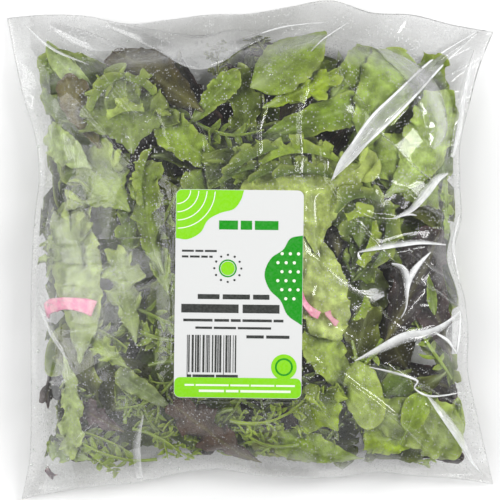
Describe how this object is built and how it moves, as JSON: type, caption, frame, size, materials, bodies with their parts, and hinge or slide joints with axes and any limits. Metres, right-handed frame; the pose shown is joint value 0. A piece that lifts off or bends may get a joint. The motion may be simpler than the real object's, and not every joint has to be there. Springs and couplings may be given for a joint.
{
  "type": "bag of salad leaves",
  "caption": "Clear film pillow bag packed with loose mixed salad leaves, lying on its back, with a paper label on its front and an empty waved fin along its top seam.",
  "frame": {"origin": "middle of the bag's outline, on the surface that it lies on", "axes": "+Z out of the bag's front, +Y towards its top seam, +X to the right as its front is read"},
  "size_m": [0.243, 0.249, 0.057],
  "materials": {
    "bag": "clear glossy film, slightly misted, over packed green leaves",
    "label": "white coated paper with green and dark grey print",
    "film": "clear glossy film 0.04 mm thick, misted on the inside",
    "leaf_green": "waxy fresh green leaf with pale veins",
    "leaf_pale": "waxy pale green leaf",
    "leaf_red": "dark red brown leaf with a green midrib",
    "stem": "smooth pink stem",
    "water": "clear drops"
  },
  "bodies": {
    "root": {"bag": "bag", "label": "label"}
  },
  "joints": []
}
